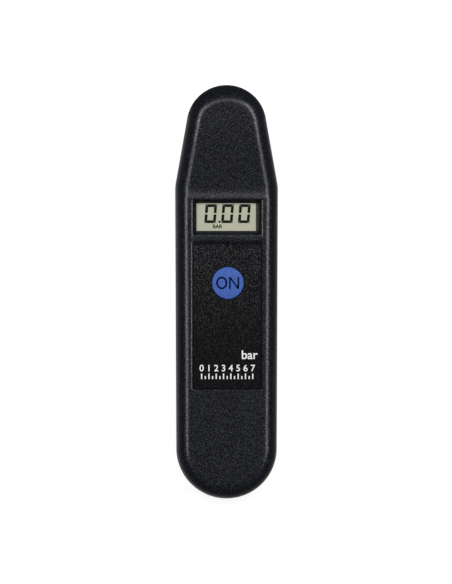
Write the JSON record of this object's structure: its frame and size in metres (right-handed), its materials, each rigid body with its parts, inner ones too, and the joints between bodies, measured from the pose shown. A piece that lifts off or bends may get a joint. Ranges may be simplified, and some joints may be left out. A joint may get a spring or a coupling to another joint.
{
  "type": "digital tire pressure gauge",
  "caption": "Hand-held digital tire pressure gauge: slim two-part case with a round head and brass valve socket, display window, press button and battery cap.",
  "frame": {"origin": "under the middle of the case, on the plane of its flat back", "axes": "+X across to the right, +Y along the case towards the round head, +Z out of the face with the display"},
  "size_m": [0.0352, 0.142, 0.0196],
  "materials": {
    "case": "fine spark-eroded grain",
    "label": "speckled printed film",
    "button": "satin blue",
    "pane": "clear",
    "mask": "black",
    "lcd_film": "grey-green",
    "lcd_glass": "clear",
    "connector": "layered silicone",
    "board": "green mask",
    "chip": "black resin",
    "capacitor": "tan ceramic",
    "steel": "nickel plated",
    "plunger": "ivory",
    "seal": "black",
    "brass": "turned",
    "contact": "spring strip"
  },
  "bodies": {
    "case": {"front_shell": "case", "rear_shell": "case", "label_film": "label", "lcd_window": "pane", "lcd_gasket": "mask", "lcd_polarizer": "lcd_film", "lcd_front_glass": "lcd_glass", "lcd_rear_glass": "lcd_glass", "lcd_reflector": "lcd_film", "lcd_frame": "mask", "lcd_connector": "connector", "circuit_board": "board", "chip_cover": "chip", "crystal": "steel", "capacitors": "capacitor", "resistors": "chip", "switch_body": "mask", "switch_dome": "steel", "pressure_sensor": "steel", "sensor_oring": "seal", "nozzle": "brass", "nozzle_washer": "seal", "nozzle_nut": "brass", "valve_seal": "seal", "valve_pin": "steel", "coin_cell": "steel", "contact_negative": "contact", "contact_positive": "contact", "case_screws": "steel", "board_screws": "steel"},
    "button": {"on_button": "button"},
    "plunger": {"switch_plunger": "plunger"},
    "cap": {"battery_cap": "case", "battery_cap_seal": "seal"}
  },
  "joints": [
    {"name": "on_button_press", "type": "slide", "parent": "case", "child": "button", "axis": [0, 0, -1], "range_m": [0, 0.0004], "stiffness_N_per_m": 1500, "springref_m": -0.0005},
    {"name": "switch_plunger_press", "type": "slide", "parent": "case", "child": "plunger", "axis": [0, 0, -1], "range_m": [0, 0.0004], "deforming": ["switch_dome"]},
    {"name": "battery_cap_turn", "type": "hinge", "parent": "case", "child": "cap", "pos_m": [0, -0.03, 0], "axis": [0, 0, 1], "range_deg": [0, 45]}
  ],
  "couplings": [
    {"joint": "switch_plunger_press", "follows": "on_button_press", "ratio": 1}
  ]
}
